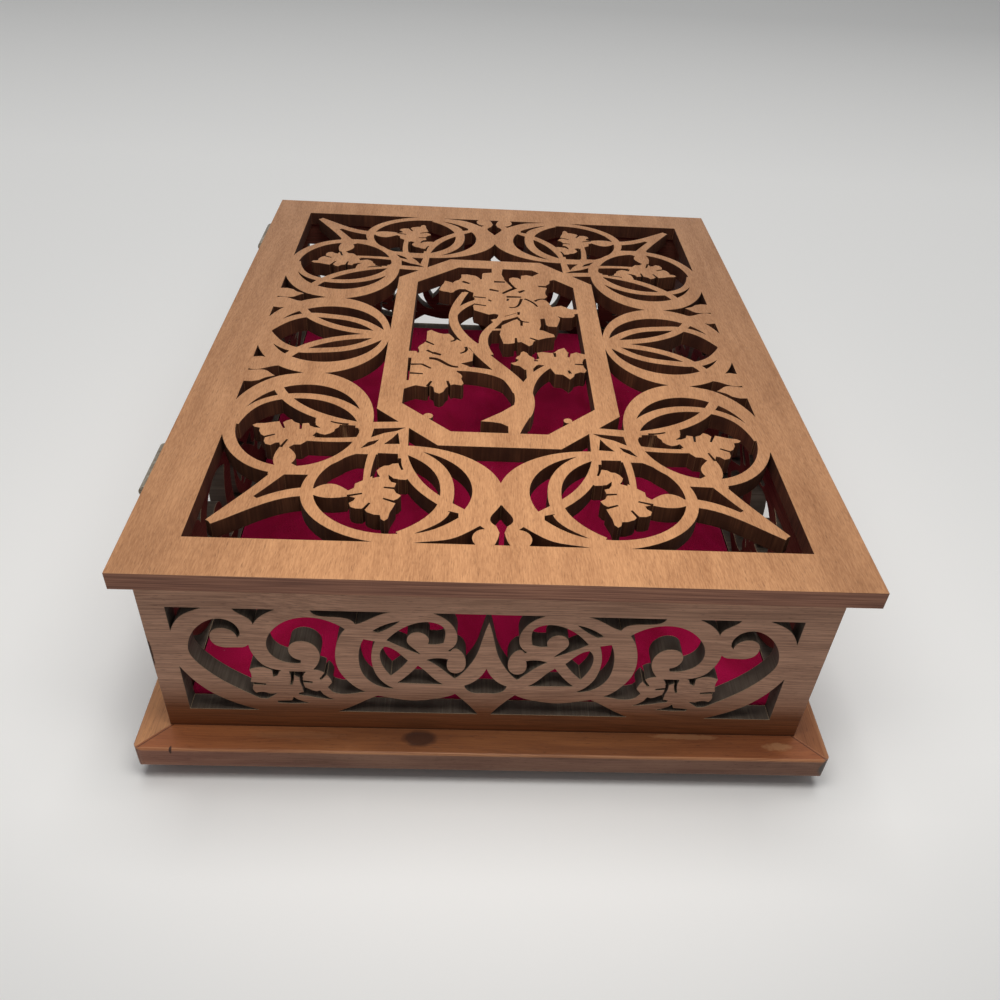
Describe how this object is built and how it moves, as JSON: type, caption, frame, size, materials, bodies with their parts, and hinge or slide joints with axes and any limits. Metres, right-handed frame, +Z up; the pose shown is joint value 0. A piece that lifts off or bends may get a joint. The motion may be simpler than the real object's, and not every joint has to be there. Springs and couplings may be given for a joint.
{
  "type": "fretwork keepsake box",
  "caption": "Rectangular wooden box with pierced scroll-sawn walls and lid, moulded base, velvet floor and a side-hinged lid.",
  "frame": {"origin": "under the middle of the box, on the surface it stands on", "axes": "+X from the hinge side to the opening side, +Y from front to back, +Z up"},
  "size_m": [0.241, 0.307, 0.0934],
  "materials": {
    "fret_wood": "satin stained hardwood, sawn edges darker",
    "moulding_pine": "satin red-brown stained pine with knots",
    "board_ply": "plain thin plywood",
    "velvet": "crimson velvet pile",
    "hinge_metal": "tarnished, antique",
    "steel_fixing": "dull"
  },
  "bodies": {
    "box": {"bottom_board": "board_ply", "bottom_board_pins": "steel_fixing", "moulding_front": "moulding_pine", "moulding_back": "moulding_pine", "moulding_hinge_side": "moulding_pine", "moulding_opening_side": "moulding_pine", "wall_front": "fret_wood", "wall_back": "fret_wood", "wall_hinge_side": "fret_wood", "wall_opening_side": "fret_wood", "floor_board": "board_ply", "velvet_lining": "velvet", "hinge_front_wall_leaf": "hinge_metal", "hinge_back_wall_leaf": "hinge_metal", "hinge_front_pin": "hinge_metal", "hinge_back_pin": "hinge_metal", "hinge_screws_wall": "steel_fixing"},
    "lid": {"lid_panel": "fret_wood", "hinge_front_lid_leaf": "hinge_metal", "hinge_back_lid_leaf": "hinge_metal", "hinge_screws_lid": "steel_fixing"}
  },
  "joints": [
    {"name": "lid_hinge", "type": "hinge", "parent": "box", "child": "lid", "pos_m": [-0.1171, 0, 0.08585], "axis": [0, -1, 0], "range_deg": [0, 180]}
  ]
}
